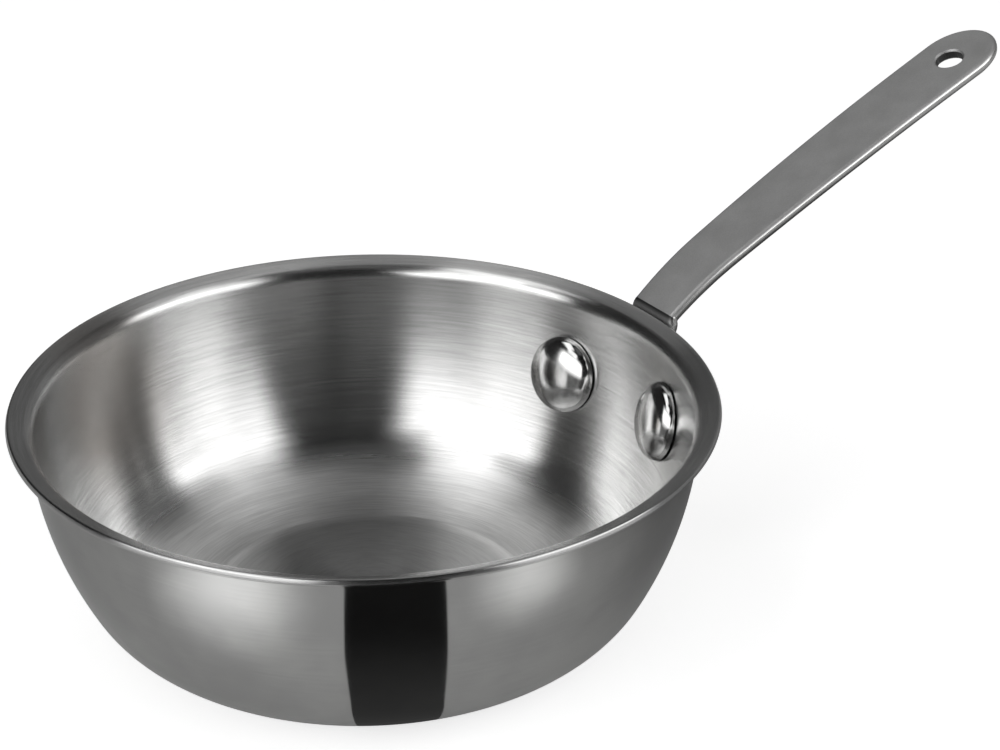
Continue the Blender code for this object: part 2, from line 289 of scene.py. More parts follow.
class MetalGraph(MaterialGraph):
    """The graph of a bare metal, which varies in colour, roughness and relief."""

    def __init__(self, name: str, **constants: float) -> None:
        """Makes the material, with more constants by the shader's names in small letters."""
        values = {key.replace("_", " ").title(): value for key, value in constants.items()}
        super().__init__(name, {"Metallic": 1.0, **values})

    def finish(self, colour: Sock, roughness: Sock, normal: Sock) -> bpy.types.Material:
        """Links the varying inputs, and returns the material."""
        self.set({"Base Color": colour, "Roughness": roughness, "Normal": normal})
        return self.material


# Finishes


@dataclass(frozen=True)
class Noise:
    """A noise texture: its fineness, how many finer layers it has, and how strong they are."""

    scale: float
    detail: float
    roughness: float


@dataclass(frozen=True)
class Drawn:
    """Noise drawn out into marks, by its fineness along the marks and across them."""

    along: float
    across: float
    noise: Noise


@dataclass(frozen=True)
class Band:
    """A change of a turned surface, full inside the inner radius and gone at the outer one."""

    inner: float
    outer: float
    shade: float = 0.0
    wear: float = 0.0
    rise: float = 0.0


@dataclass(frozen=True)
class PatinaAndShade:
    """A soft patch where steel has gone dull and warm, darkened further as painted shade."""

    centre: Vector
    reach: float
    share: float
    core: float = 0.3
    cloud: tuple[float, float] = (0.6, 0.8)
    colour: Colour = (0.35, 0.32, 0.295)


@dataclass(frozen=True)
class TurnedSteel:
    """Sheet steel worked on a turning spindle, with fine marks that run round the axis.

    The mesh carries `run`, the distance along its profile from the axis. Mottle is the share of its
    unevenness that lies in soft patches and not in marks.
    """

    name: str
    dark: Colour
    light: Colour
    roughness: float
    spread: float
    mottle: float
    anisotropy: float
    grain_depth: float
    wave_depth: float
    shade: float = 0.0
    bands: tuple[Band, ...] = ()
    patina_and_shade: PatinaAndShade | None = None
    quarter_turn: float = 0.25
    hair: Drawn = Drawn(5.0, 5200.0, Noise(1.0, 3.0, 0.62))
    streak: Drawn = Drawn(3.4, 2100.0, Noise(1.0, 3.0, 0.6))
    broad: Drawn = Drawn(1.7, 130.0, Noise(1.0, 2.0, 0.5))
    cloud: Noise = Noise(55.0, 3.0, 0.55)
    hair_share: float = 0.55
    contrast: tuple[float, float] = (0.36, 0.64)

    def material(self) -> bpy.types.Material:
        """Makes the finish's material.

        Returns:
            The new material.
        """
        graph = MetalGraph(self.name, anisotropic=self.anisotropy, anisotropic_rotation=self.quarter_turn)
        place = graph.place()
        x, y, _ = graph.axes(place)
        radius = (x * x + y * y) ** 0.5
        run = graph.attribute("run")
        fine, medium, height = (
            graph.noise(graph.vector(x / radius * m.along, y / radius * m.along, run * m.across), m.noise)
            for m in (self.hair, self.streak, self.broad)
        )
        cloud = graph.noise(place, self.cloud)
        lines = fine * self.hair_share + medium * (1.0 - self.hair_share)
        marks = lines * (1.0 - self.mottle) + cloud * self.mottle
        roughness = self.roughness + (marks - 0.5) * self.spread
        # Painted shade: the shade and the bands' shades mix black into the steel's colour.
        shade: Sock | float = self.shade
        for band in self.bands:
            inside = radius.step(band.inner, band.outer, 1.0, 0.0)
            shade = shade + inside * band.shade
            roughness = roughness + inside * band.wear
            height = height + inside * band.rise
        metal = graph.blend(marks.step(*self.contrast), self.dark, self.light)
        colour = graph.blend(shade, metal, BLACK)
        if self.patina_and_shade:
            colour = self._with_patina_and_shade(graph, place, cloud, colour)
        hairs = graph.bump(fine, self.grain_depth)
        return graph.finish(colour, roughness, graph.bump(height, self.wave_depth, hairs))

    def _with_patina_and_shade(self, graph: Graph, place: Sock, cloud: Sock, colour: Sock) -> Sock:
        """Lays the patina, a dull warm patch that is also painted shade, over a colour.

        Args:
            graph: The finish's graph.
            place: The point on the piece.
            cloud: The uneven noise that breaks the patina up.
            colour: The colour of the clean steel.

        Returns:
            The colour with the patina over it.
        """
        patina_and_shade = self.patina_and_shade
        least, rise = patina_and_shade.cloud
        away = graph.points("DISTANCE", place, patina_and_shade.centre)
        share = away.step(patina_and_shade.reach * patina_and_shade.core, patina_and_shade.reach, patina_and_shade.share, 0.0) * (cloud * rise + least)
        return graph.blend(share.held(), colour, patina_and_shade.colour)


@dataclass(frozen=True)
class StripSteel:
    """Blanked and bent strip, satin on its faces and buffed bright round its edges.

    The mesh carries `along`, `across`, `depth` through the sheet from 0 on top to 1, and `rounded`, which
    is 1 in the middle of the rounded edge. The top face gets painted shade below the line where it bends
    down into the neck, which is given as a point and the direction in which the handle goes on. The lower
    half of the rounded edge and the bore of the hang hole get painted shade too.
    """

    name: str
    dark: Colour
    light: Colour
    edge: Colour
    face_roughness: float
    edge_roughness: float
    grain_depth: float
    lower_edge_painted_shade: float
    root: tuple[Vector, Vector]
    neck_painted_shade: float
    bore: tuple[Vector, Vector]
    bore_radius: float
    bore_painted_shade: float
    line_edge: tuple[float, float] = (0.0, 0.0001)
    line_fade: tuple[float, float] = (0.0002, 0.0014)
    line_end: tuple[float, float] = (0.0024, 0.0032)
    faded: float = 0.4
    top_side: tuple[float, float] = (0.1, 0.6)
    lower_side: tuple[float, float] = (0.5, 0.75)
    bore_edge: float = 0.00012
    grain: Noise = Noise(4200.0, 2.0, 0.6)
    patch: Noise = Noise(160.0, 4.0, 0.6)
    brush: Drawn = Drawn(420.0, 5200.0, Noise(1.0, 3.0, 0.6))
    scuffs: Drawn = Drawn(90.0, 900.0, Noise(1.0, 2.0, 0.5))
    scuff_edge: tuple[float, float] = (0.66, 0.74)
    buffed: tuple[float, float] = (0.05, 0.6)
    contrast: tuple[float, float] = (0.3, 0.7)
    patch_spread: float = 0.14
    grain_spread: float = 0.08
    scuff_polish: float = 0.05
    edge_spread: float = 0.06
    grain_share: float = 0.6
    edge_smoothing: float = 0.85

    def _shade(self, graph: Graph, place: Sock, rounded: Sock) -> Sock:
        """Finds the painted shade below the root line, on the lower half of the edges and in the bore.

        Args:
            graph: The finish's graph.
            place: The point on the piece.
            rounded: How far the point is on the rounded edge.

        Returns:
            The share of black in the colour.
        """
        # Painted shade on the top face below the root line, where the strip bends down into the neck.
        start, ahead = self.root
        below = graph.points("DOT_PRODUCT", graph.points("SUBTRACT", start, place), ahead)
        fade = below.step(*self.line_fade, self.neck_painted_shade, self.neck_painted_shade * self.faded)
        root = below.step(*self.line_edge) * fade
        depth = graph.attribute("depth")
        top = depth.step(*self.top_side, 1.0, 0.0) * below.step(*self.line_end, 1.0, 0.0)
        # Painted shade on the lower half of the rounded edges.
        under = depth.step(*self.lower_side) * rounded * self.lower_edge_painted_shade
        # Painted shade in the bore of the hang hole.
        middle, axis = self.bore
        away = graph.points("CROSS_PRODUCT", graph.points("SUBTRACT", place, middle), axis)
        radius = graph.points("LENGTH", away)
        bore = radius.step(self.bore_radius, self.bore_radius + self.bore_edge, self.bore_painted_shade, 0.0)
        return (root * top).larger(under).larger(bore)

    def material(self) -> bpy.types.Material:
        """Makes the finish's material.

        Returns:
            The new material.
        """
        graph = MetalGraph(self.name)
        place, along, across = graph.place(), graph.attribute("along"), graph.attribute("across")
        rounded = graph.attribute("rounded").step(*self.buffed)
        grain, patch = graph.noise(place, self.grain), graph.noise(place, self.patch)
        brush, scuffs = (
            graph.noise(graph.vector(along * mark.along, across * mark.across, 0.0), mark.noise)
            for mark in (self.brush, self.scuffs)
        )
        rub = scuffs.step(*self.scuff_edge)
        face = graph.blend((grain * 0.5 + patch * 0.5).step(*self.contrast), self.dark, self.light)
        colour = graph.blend(self._shade(graph, place, rounded), graph.blend(rounded, face, self.edge), BLACK)
        uneven = (patch - 0.5) * self.patch_spread + (grain - 0.5) * self.grain_spread
        rough_face = self.face_roughness + uneven - rub * self.scuff_polish
        rough_edge = self.edge_roughness + (patch - 0.5) * self.edge_spread
        roughness = rough_face * (1.0 - rounded) + rough_edge * rounded
        relief = grain * self.grain_share + brush * (1.0 - self.grain_share)
        relief = relief * (1.0 - rounded * self.edge_smoothing)
        return graph.finish(colour, roughness, graph.bump(relief, self.grain_depth))


@dataclass(frozen=True)
class RivetSteel:
    """Headed rivet wire, tumbled bright, with faint pits and die marks."""

    name: str
    dark: Colour
    light: Colour
    roughness: float
    dent_depth: float
    cloud: Noise = Noise(260.0, 3.0, 0.55)
    speck: Noise = Noise(2600.0, 2.0, 0.6)
    dents: Noise = Noise(420.0, 1.0, 0.4)
    cloud_share: float = 0.6
    contrast: tuple[float, float] = (0.3, 0.7)
    pits: tuple[float, float] = (0.6, 0.75)
    cloud_spread: float = 0.12
    pit_wear: float = 0.06
    speck_relief: float = 0.04

    def material(self) -> bpy.types.Material:
        """Makes the finish's material.

        Returns:
            The new material.
        """
        graph = MetalGraph(self.name)
        place = graph.place()
        cloud, speck, dents = (graph.noise(place, noise) for noise in (self.cloud, self.speck, self.dents))
        marks = cloud * self.cloud_share + speck * (1.0 - self.cloud_share)
        colour = graph.blend(marks.step(*self.contrast), self.dark, self.light)
        roughness = self.roughness + (cloud - 0.5) * self.cloud_spread + speck.step(*self.pits) * self.pit_wear
        return graph.finish(colour, roughness, graph.bump(dents + speck * self.speck_relief, self.dent_depth))


# Paths and meshes


@dataclass(frozen=True)
class Fineness:
    """How finely paths are cut into facets."""

    arc_step: float = 2.5
    tight_arc_step: float = 6.0
    tight_radius: float = 0.004
    straight_step: float = 0.0012


class Path:
    """A run of arcs and straights in the X-Z plane, followed from a point in a heading."""

    def __init__(self, start: Sequence[float], heading: float) -> None:
        """Starts the path.

        Args:
            start: The first point, as (x, z).
            heading: The first heading in degrees, 0 along +X and 90 along +Z.
        """
        self.points = [Vector(start)]
        self.headings = [heading]
        self.lengths: list[float] = []
        self.turns: list[float] = []

    def go(self, length: float, turn: float = 0.0) -> "Path":
        """Adds a straight or an arc.

        Args:
            length: Its length.
            turn: How far it turns left, in degrees, or right where negative.

        Returns:
            The path itself.
        """
        self.points.append(self._ahead(len(self.lengths), length, length, turn))
        self.headings.append(self.headings[-1] + turn)
        self.lengths.append(length)
        self.turns.append(turn)
        return self

    def bend(self, radius: float, turn: float) -> "Path":
        """Adds an arc of this radius that turns left by this many degrees (negative: right)."""
        return self.go(radius * math.radians(abs(turn)), turn)

    def _ahead(self, index: int, distance: float, length: float, turn: float) -> Vector:
        """Finds a point on one piece of the path.

        Args:
            index: The piece, which starts at the point of the same index.
            distance: How far along the piece the point lies.
            length: The piece's length.
            turn: How far the piece turns left, in degrees.

        Returns:
            The point.
        """
        x, z = self.points[index]
        first = math.radians(self.headings[index])
        if turn == 0.0:
            return Vector((x + distance * math.cos(first), z + distance * math.sin(first)))
        radius = length / math.radians(turn)
        last = first + distance / radius
        return Vector((
            x + radius * (math.sin(last) - math.sin(first)),
            z - radius * (math.cos(last) - math.cos(first)),
        ))

    def length(self) -> float:
        """Returns the whole length of the path."""
        return sum(self.lengths)

    def at(self, distance: float) -> tuple[Vector, float]:
        """Follows the path.

        Args:
            distance: How far from the start.

        Returns:
            The point there, and the heading in degrees.
        """
        index = 0
        while index < len(self.lengths) - 1 and distance > self.lengths[index]:
            distance -= self.lengths[index]
            index += 1
        length, turn = self.lengths[index], self.turns[index]
        heading = self.headings[index] + turn * distance / length
        return self._ahead(index, distance, length, turn), heading

    def beside(self, distance: float, offset: float) -> Vector:
        """Finds a point beside the path.

        Args:
            distance: How far from the start.
            offset: How far to the left of the path.

        Returns:
            The point.
        """
        point, heading = self.at(distance)
        angle = math.radians(heading)
        return point + offset * Vector((-math.sin(angle), math.cos(angle)))

    def distance_at_height(self, height: float) -> float:
        """Finds where a rising path reaches a height.

        Args:
            height: The height.

        Returns:
            The distance from the start.
        """
        low, high = 0.0, self.length()
        for _ in range(SEARCH_STEPS):
            middle = (low + high) / 2
            if self.at(middle)[0].y < height:
                low = middle
            else:
                high = middle
        return (low + high) / 2

    def stations(self, fineness: Fineness) -> list[float]:
        """Cuts the path into facets.

        Args:
            fineness: How fine the facets are.

        Returns:
            The distances of the cuts, from start to end.
        """
        marks = [0.0]
        for length, turn in zip(self.lengths, self.turns):
            tight = length < fineness.tight_radius * math.radians(abs(turn))
            step = fineness.tight_arc_step if tight else fineness.arc_step
            count = max(1, math.ceil(abs(turn) / step), math.ceil(length / fineness.straight_step))
            start = marks[-1]
            marks += [start + length * index / count for index in range(1, count + 1)]
        return marks


def quarter_turn(count: int) -> list[float]:
    """Returns the angles of a quarter turn in this many steps, from 0 to 90 degrees, in radians."""
    return [math.tau / 4 * index / count for index in range(count + 1)]


def spaced(first: float, last: float, step: float) -> list[float]:
    """Returns evenly spaced values from first up to but not at last, about this step apart."""
    count = round((last - first) / step)
    return [first + (last - first) * index / count for index in range(count)]


class Piece:
    """A named object of the visible model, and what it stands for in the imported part."""

    def __init__(self, name: str, node: str, slot: Slot) -> None:
        """Names the piece and what it stands for.

        Args:
            name: The object's name.
            node: The CAD node that it takes the place of.
            slot: Its material slot.
        """
        self.name = name
        self.node = node
        self.slot = slot
        self.object: bpy.types.Object | None = None

    def shape(self) -> bmesh.types.BMesh:
        """Returns the piece's shape."""
        raise NotImplementedError

    def finishes(self) -> list[bpy.types.Material]:
        """Returns the piece's materials, in slot order."""
        raise NotImplementedError

    def build(self) -> None:
        """Makes the object from its shape, with smooth round faces and crisp edges."""
        mesh = as_mesh(self.name, self.shape())
        mesh.shade_smooth()
        mesh.set_sharp_from_angle(angle=math.radians(SMOOTH_ANGLE))
        self.object = placed(self.name, mesh)
        LOG.info("%s: %d triangles", self.name, sum(len(p.vertices) - 2 for p in mesh.polygons))

    def dress(self) -> None:
        """Gives the object its materials, and puts it in the place of its CAD node."""
        for material in self.finishes():
            self.object.data.materials.append(material)
        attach(self.object, "root")
        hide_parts(self.node)


def placed(name: str, data: bpy.types.ID, place: Matrix = Matrix()) -> bpy.types.Object:
    """Makes an object in the scene.

    Args:
        name: Its name.
        data: Its mesh, light or camera.
        place: Its matrix.

    Returns:
        The object.
    """
    made = bpy.data.objects.new(name, data)
    bpy.context.scene.collection.objects.link(made)
    made.matrix_world = place
    return made


def as_mesh(name: str, shape: bmesh.types.BMesh) -> bpy.types.Mesh:
    """Turns a shape into a mesh whose faces point outwards, and frees the shape.

    Args:
        name: The mesh's name.
        shape: The shape.

    Returns:
        The mesh.
    """
    bmesh.ops.recalc_face_normals(shape, faces=shape.faces)
    mesh = bpy.data.meshes.new(name)
    shape.to_mesh(mesh)
    shape.free()
    return mesh


def spun(profile: Sequence[Sequence[float]], steps: int, run: str = "run") -> bmesh.types.BMesh:
    """Spins a profile round Z.

    Args:
        profile: Points (radius, height), from the axis back to the axis or closed.
        steps: The number of facets round the axis.
        run: The name of the vertex layer that holds the distance along the profile.

    Returns:
        A closed shape.
    """
    shape = bmesh.new()
    layer = shape.verts.layers.float.new(run)
    verts: list[bmesh.types.BMVert] = []
    distance = 0.0
    for radius, height in profile:
        vert = shape.verts.new((radius, 0.0, height))
        if verts:
            distance += (vert.co - verts[-1].co).length
        vert[layer] = distance
        verts.append(vert)
    edges = [shape.edges.new(pair) for pair in zip(verts, verts[1:])]
    bmesh.ops.spin(
        shape, geom=verts + edges, axis=(0, 0, 1), cent=(0, 0, 0),
        angle=math.tau, steps=steps, use_merge=True,
    )
    bmesh.ops.remove_doubles(shape, verts=shape.verts, dist=MERGE)
    bmesh.ops.recalc_face_normals(shape, faces=shape.faces)
    return shape


def wrap_round(shape: bmesh.types.BMesh, run: str = "run") -> None:
    """Gives a spun shape a UV map of turns round the axis and distance along the profile.

    Args:
        shape: The spun shape.
        run: The name of its layer of distances.
    """
    layer = shape.loops.layers.uv.new("UVMap")
    along = shape.verts.layers.float[run]
    for face in shape.faces:
        centre = face.calc_center_median()
        middle = math.atan2(centre.y, centre.x)
        for loop in face.loops:
            spot = loop.vert.co
            turn = math.atan2(spot.y, spot.x) if spot.xy.length > MERGE else middle
            turn += math.tau * round((middle - turn) / math.tau)
            loop[layer].uv = (turn / math.tau, loop.vert[along] * UV_SCALE)


def less(shape: bpy.types.Object, cutters: Iterable[bpy.types.Object]) -> bmesh.types.BMesh:
    """Takes cutters out of an object, and removes them and the object.

    Args:
        shape: The object that is cut.
        cutters: The objects that are taken out of it.

    Returns:
        The shape that is left.
    """
    cutters = list(cutters)
    for cutter in cutters:
        modifier = shape.modifiers.new(cutter.name, "BOOLEAN")
        modifier.operation = "DIFFERENCE"
        modifier.solver = "EXACT"
        modifier.object = cutter
    depsgraph = bpy.context.evaluated_depsgraph_get()
    result = bmesh.new()
    result.from_object(shape, depsgraph)
    for used in (shape, *cutters):
        bpy.data.objects.remove(used, do_unlink=True)
    return result


def loose_object(name: str, shape: bmesh.types.BMesh, place: Matrix = Matrix()) -> bpy.types.Object:
    """Makes a working object of a shape, at this place."""
    return placed(name, as_mesh(name, shape), place)


# Bowl


@dataclass(frozen=True)
class BowlSizes:
    """The bowl's sizes."""

    rim_radius: float
    height: float
    sheet: float = 0.0012
    heel_radius: float = 0.0185
    heel_lean: float = 27.5
    wall_lean: float = 2.6
    lip_length: float = 0.00275
    lip_slope: float = 20.0
    lip_bend: float = 0.0016
    edge_round: float = 0.00035
    disc_radius: float = 0.0295
    disc_depth: float = 0.00016
    disc_blend: float = 0.0062
    floor_radius: float = 0.0390
    ring_radius: float = 0.0490
    wall_radius: float = 0.0575
    patina_azimuth: float = 119.0
    patina_height: float = 0.028
    patina_reach: float = 0.024
    patina_and_shade_share: float = 0.75
    lip_radius: float = 0.0606
    lip_fade: float = 0.001
    # Painted shade on the lip's top.
    lip_painted_shade: float = 0.17
    # Painted shade on the wall above the floor ring, so that the ring reads lighter.
    wall_painted_shade: float = 0.11
    # Painted shade from the floor ring in to the disc, and over the disc.
    floor_painted_shade: float = 0.30
    ring_fade: float = 0.0003
    # More painted shade on the disc, darkest towards its middle.
    disc_painted_shade: float = 0.22
    disc_fade: float = 0.003
    steps: int = 288
    edge_steps: int = 6
    fineness: Fineness = Fineness()

    def meridian(self) -> Path:
        """Draws the outer face, from the middle of the base to the lip's edge.

        Returns:
            The path, which meets the rim's radius and the bowl's height.
        """
        leans = (90 - self.lip_slope, self.wall_lean, self.heel_lean)
        lip, side, heel = (math.radians(90 - lean) for lean in leans)
        corner = self.edge_round * (math.cos(lip) + math.sin(lip) - 1)
        edge_x = self.rim_radius + corner
        edge_z = self.height + corner - self.sheet * math.cos(lip)
        top_x = edge_x - self.lip_length * math.cos(lip) - self.lip_bend * (math.sin(side) - math.sin(lip))
        top_z = edge_z - self.lip_length * math.sin(lip) - self.lip_bend * (math.cos(lip) - math.cos(side))
        rise = top_z - self.heel_radius * (1 - math.cos(heel))
        side_radius = rise / (math.cos(heel) - math.cos(side))
        side_width = side_radius * (math.sin(side) - math.sin(heel))
        path = Path((0, 0), 0).go(top_x - side_width - self.heel_radius * math.sin(heel))
        path.bend(self.heel_radius, 90 - self.heel_lean).bend(side_radius, self.heel_lean - self.wall_lean)
        return path.bend(self.lip_bend, self.wall_lean - 90 + self.lip_slope).go(self.lip_length)

    def sink(self, radius: float) -> float:
        """Finds how far the inner floor lies below the plain sheet.

        Args:
            radius: The distance from the axis.

        Returns:
            The depth.
        """
        share = (self.disc_radius + self.disc_blend - radius) / self.disc_blend
        share = min(max(share, 0.0), 1.0)
        return self.disc_depth * share

    def profile(self) -> list[tuple[float, float]]:
        """Draws the half section: outer face, rounded lip edge and inner face.

        Returns:
            Points (radius, height), from the axis back to the axis.
        """
        path = self.meridian()
        marks = path.stations(self.fineness)
        outer = [path.at(mark)[0] for mark in marks]
        inner = [path.beside(mark, self.sheet) for mark in marks]
        along = (outer[-1] - outer[-2]).normalized()
        across = (inner[-1] - outer[-1]).normalized()
        under = outer[-1] + self.edge_round * (across - along)
        over = inner[-1] - self.edge_round * (across + along)
        turns = [(math.cos(turn), math.sin(turn)) for turn in quarter_turn(self.edge_steps)]
        points = outer[:-1]
        points += [under + self.edge_round * (rise * along - run * across) for run, rise in turns]
        points += [over + self.edge_round * (run * along + rise * across) for run, rise in turns]
        points += [point - Vector((0.0, self.sink(point.x))) for point in inner[-2::-1]]
        return [(max(point.x, 0.0), point.y) for point in points]


class Bowl(Piece):
    """The pressed bowl, satin inside and polished outside."""

    def __init__(self, sizes: BowlSizes, cutters: "RivetCutters") -> None:
        """Plans the bowl.

        Args:
            sizes: The bowl's sizes.
            cutters: The rivet holes.
        """
        super().__init__("pan_bowl", "bowl", Slot.BRUSHED)
        self.sizes = sizes
        self.cutters = cutters

    def shape(self) -> bmesh.types.BMesh:
        """Makes the bowl with its rivet holes.

        Returns:
            The shape, its faces sorted into outside 0, inside 1 and disc 2.
        """
        blank = loose_object(self.name, spun(self.sizes.profile(), self.sizes.steps))
        shape = less(blank, self.cutters.holes())
        wrap_round(shape)
        for face in shape.faces:
            low = face.calc_center_median().xy.length < self.sizes.disc_radius
            face.material_index = 0 if face.normal.z <= 0 else 1 + int(low)
        return shape

    def finishes(self) -> list[bpy.types.Material]:
        """Makes the bowl's finishes.

        Returns:
            The materials of the outside, the inside and the disc.
        """
        sizes = self.sizes
        dark, light = (0.66, 0.66, 0.655), (0.88, 0.88, 0.875)
        turn = Matrix.Rotation(math.radians(sizes.patina_azimuth), 4, "Z")
        centre = turn @ Vector((sizes.wall_radius, 0.0, sizes.patina_height))
        outside = TurnedSteel(
            name="polished_outside", dark=(0.41, 0.41, 0.405), light=(0.49, 0.49, 0.48),
            roughness=0.12, spread=0.08, mottle=0.75, anisotropy=1.0, grain_depth=0.0000003,
            wave_depth=0.000001,
        )
        # The inside's shades are painted shade: on the lip, on the wall above the floor ring, and towards the
        # disc.
        inside = TurnedSteel(
            name="satin_inside", dark=dark, light=light, roughness=0.24, spread=0.06, mottle=0.3,
            anisotropy=0.94, grain_depth=0.0000017, wave_depth=0.00001,
            shade=sizes.wall_painted_shade + sizes.lip_painted_shade,
            # The patina is a dull warm patch, darkened further as painted shade.
            patina_and_shade=PatinaAndShade(centre, sizes.patina_reach, sizes.patina_and_shade_share),
            bands=(
                Band(sizes.lip_radius - sizes.lip_fade, sizes.lip_radius, shade=-sizes.lip_painted_shade),
                Band(sizes.floor_radius, sizes.ring_radius, shade=-sizes.wall_painted_shade, wear=0.13),
                Band(sizes.ring_radius - sizes.ring_fade, sizes.ring_radius, wear=0.015, rise=0.4),
                Band(sizes.disc_radius, sizes.floor_radius, shade=sizes.floor_painted_shade),
            ),
        )
        # The disc's shades are painted shade, darkest towards its middle.
        disc = TurnedSteel(
            name="satin_disc", dark=dark, light=light, roughness=0.36, spread=0.08, mottle=0.4,
            anisotropy=0.72, grain_depth=0.000003, wave_depth=0.000006, shade=sizes.floor_painted_shade,
            bands=(Band(sizes.disc_radius - sizes.disc_fade, sizes.disc_radius, shade=sizes.disc_painted_shade),),
        )
        return [outside.material(), inside.material(), disc.material()]


# Handle


@dataclass(frozen=True)
class HandleSizes:
    """The handle's sizes: strip, neck, flange and hang hole."""

    thickness: float = 0.00225
    edge_round: float = 0.00095
    strip_length: float = 0.0914
    root_width: float = 0.0117
    middle_width: float = 0.0143
    end_width: float = 0.0153
    end_round: float = 0.0096
    end_flat: float = 0.018
    crook_length: float = 0.0165
    root_rise: float = 0.0013
    root_slope: float = 38.8
    # How far below the strip's root the neck's painted shade starts.
    root_line: float = 0.00042
    crook_slope: float = 26.4
    end_slope: float = 22.5
    shoulder_bend: float = 0.00035
    neck_upper_bend: float = 0.0012
    neck_lower_bend: float = 0.00055
    neck_width: float = 0.0142
    neck_fillet: float = 0.0042
    flange_width: float = 0.044
    flange_height: float = 0.015
    flange_corner: float = 0.0067
    flange_drop: float = 0.0087
    hole_diameter: float = 0.0054
    hole_chamfer: float = 0.0004
    hole_from_end: float = 0.0106
    seat_gap: float = 0.0003
    lip_gap: float = 0.0004
    corner_steps: int = 14
    end_steps: int = 26
    edge_steps: int = 6
    hole_steps: int = 72
    wrap_cuts: int = 3
    wrap_step: float = 0.0012
    strip_step: float = 0.0022
    flat_weight: int = 80
    fineness: Fineness = Fineness(straight_step=0.003)

    def half_width(self, along: float) -> float:
        """Finds half the strip's width, without the round end.

        Args:
            along: The place, as a share of the strip's length.

        Returns:
            Half the width.
        """
        root, middle, end = self.root_width / 2, self.middle_width / 2, self.end_width / 2
        return (
            root * (1 - along) * (1 - 2 * along)
            + middle * 4 * along * (1 - along)
            + end * along * (2 * along - 1)
        )

    def flange_marks(self, bowl: Path, height: float) -> tuple[float, float, float]:
        """Returns the distances along the bowl's path where the flange starts, is halfway and ends."""
        top = bowl.distance_at_height(height - self.flange_drop)
        return top - self.flange_height, top - self.flange_height / 2, top


